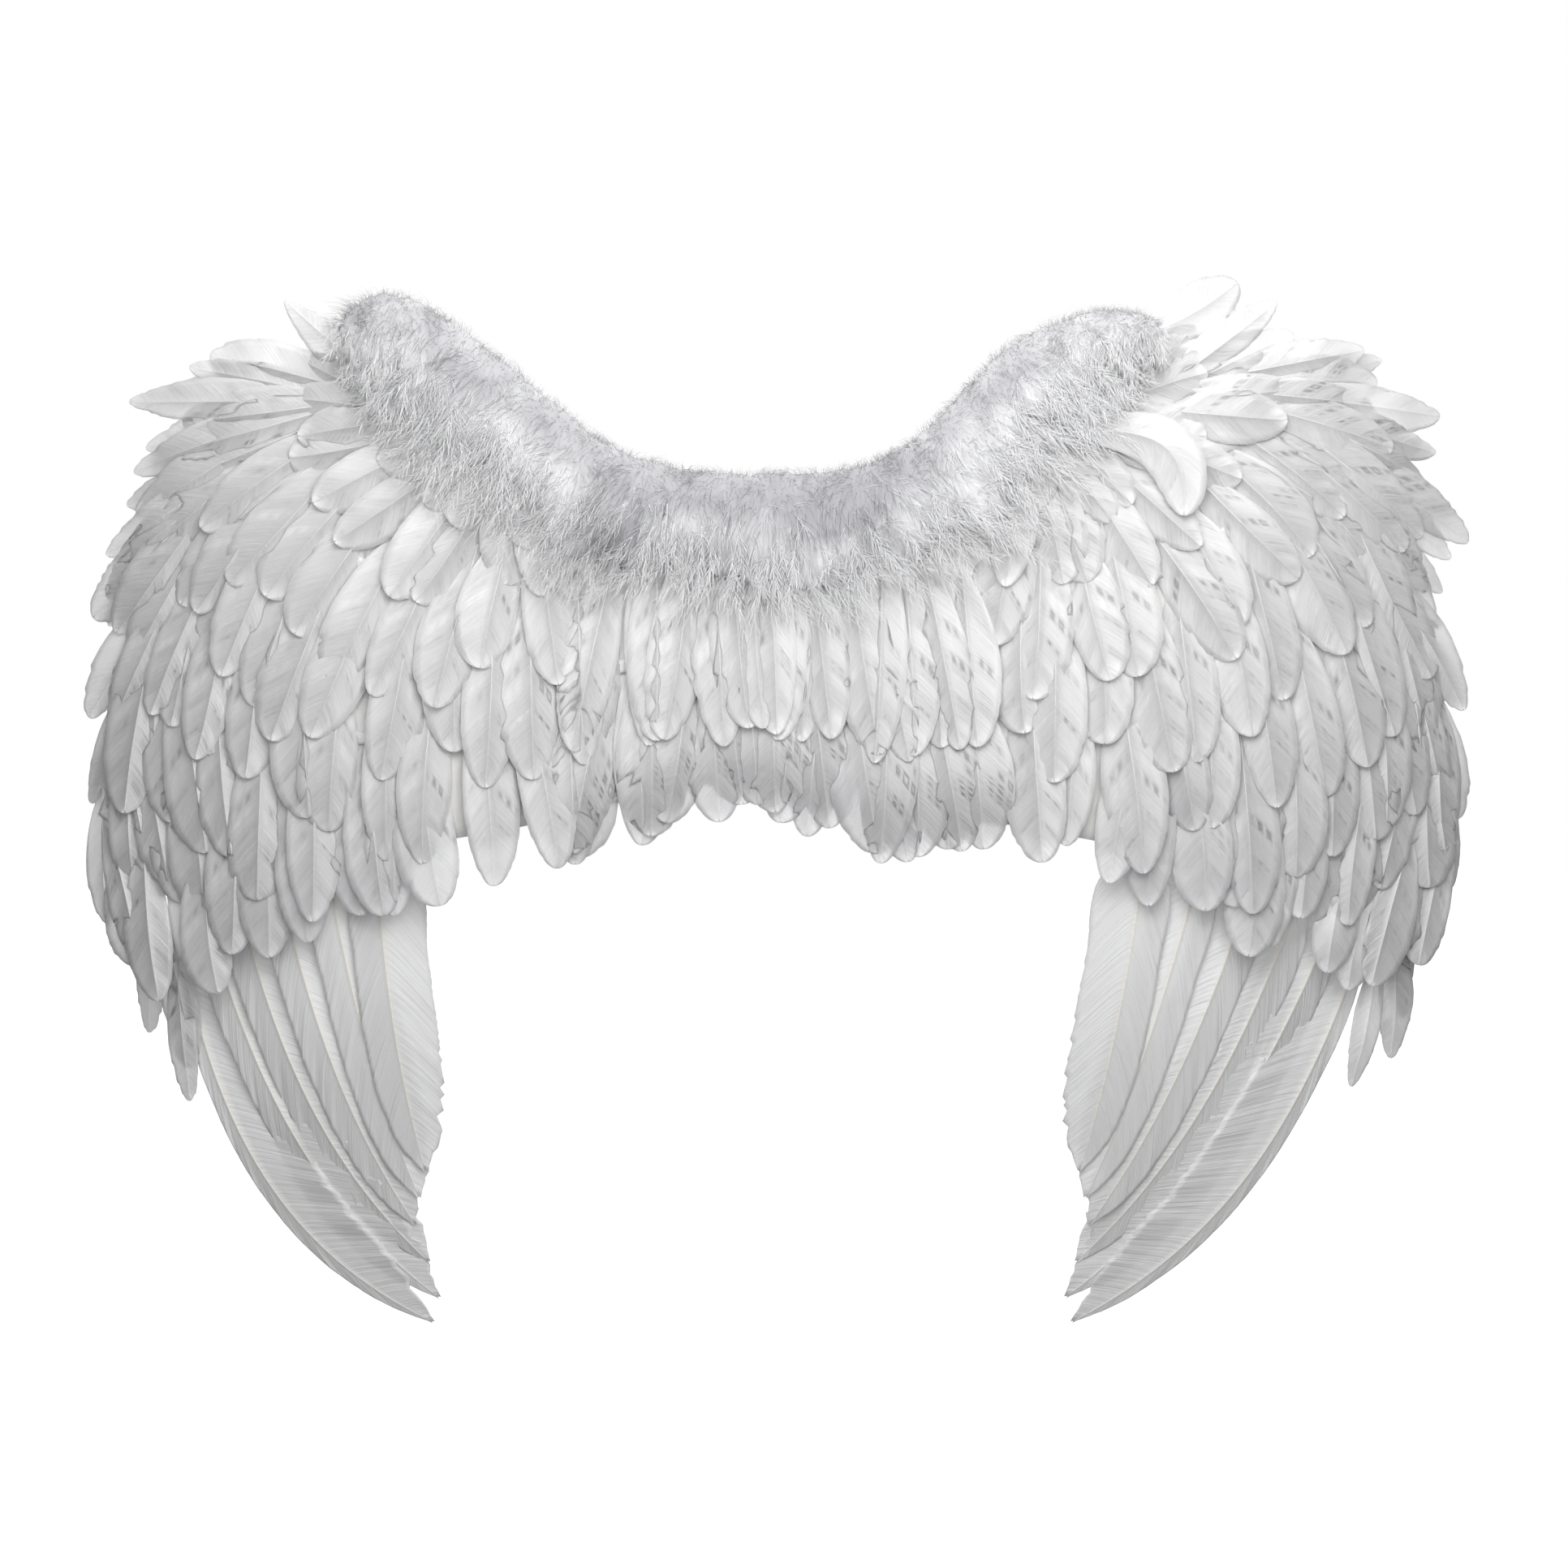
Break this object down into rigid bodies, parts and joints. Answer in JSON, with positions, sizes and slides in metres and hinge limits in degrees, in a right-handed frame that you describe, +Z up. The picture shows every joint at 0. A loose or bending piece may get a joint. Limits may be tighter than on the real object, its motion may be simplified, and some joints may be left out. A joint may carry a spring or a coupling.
{
  "type": "costume wings",
  "caption": "White feathered costume wings on a soft back panel, with tiered covert feathers, long flight feathers, a fluffy neckline trim and elastic shoulder loops.",
  "frame": {"origin": "middle of the panel's back face, where it lies between the wearer's shoulder blades", "axes": "+X to the wearer's right along the span, +Y from the feathered face towards the wearer, +Z up"},
  "size_m": [0.8585, 0.17, 0.647],
  "materials": {
    "felt": "plain white needled felt, matt",
    "covert_feather": "white goose covert feathers, satin",
    "flight_feather": "white flight feathers with cream shafts, satin",
    "marabou": "pale grey-white down, fluffy and matt",
    "elastic": "plain white woven elastic, matt"
  },
  "bodies": {
    "root": {"backing_panel": "felt", "covert_row_left_1": "covert_feather", "covert_row_left_2": "covert_feather", "covert_row_left_3": "covert_feather", "covert_row_left_4": "covert_feather", "covert_row_left_5": "covert_feather", "covert_row_left_6": "covert_feather", "covert_row_left_7": "covert_feather", "covert_row_left_8": "covert_feather", "covert_row_right_1": "covert_feather", "covert_row_right_2": "covert_feather", "covert_row_right_3": "covert_feather", "covert_row_right_4": "covert_feather", "covert_row_right_5": "covert_feather", "covert_row_right_6": "covert_feather", "covert_row_right_7": "covert_feather", "covert_row_right_8": "covert_feather", "edge_row_left": "covert_feather", "edge_row_right": "covert_feather", "centre_row_upper": "covert_feather", "centre_row_lower": "covert_feather", "covert_stray_right": "covert_feather", "flight_feather_left_1": "flight_feather", "flight_feather_left_2": "flight_feather", "flight_feather_left_3": "flight_feather", "flight_feather_left_4": "flight_feather", "flight_feather_left_5": "flight_feather", "flight_feather_left_6": "flight_feather", "flight_feather_right_1": "flight_feather", "flight_feather_right_2": "flight_feather", "flight_feather_right_3": "flight_feather", "flight_feather_right_4": "flight_feather", "flight_feather_right_5": "flight_feather", "flight_feather_right_6": "flight_feather", "marabou_trim_left": "marabou", "marabou_trim_centre": "marabou", "marabou_trim_right": "marabou", "shoulder_strap_left": "elastic", "shoulder_strap_right": "elastic"}
  },
  "joints": []
}
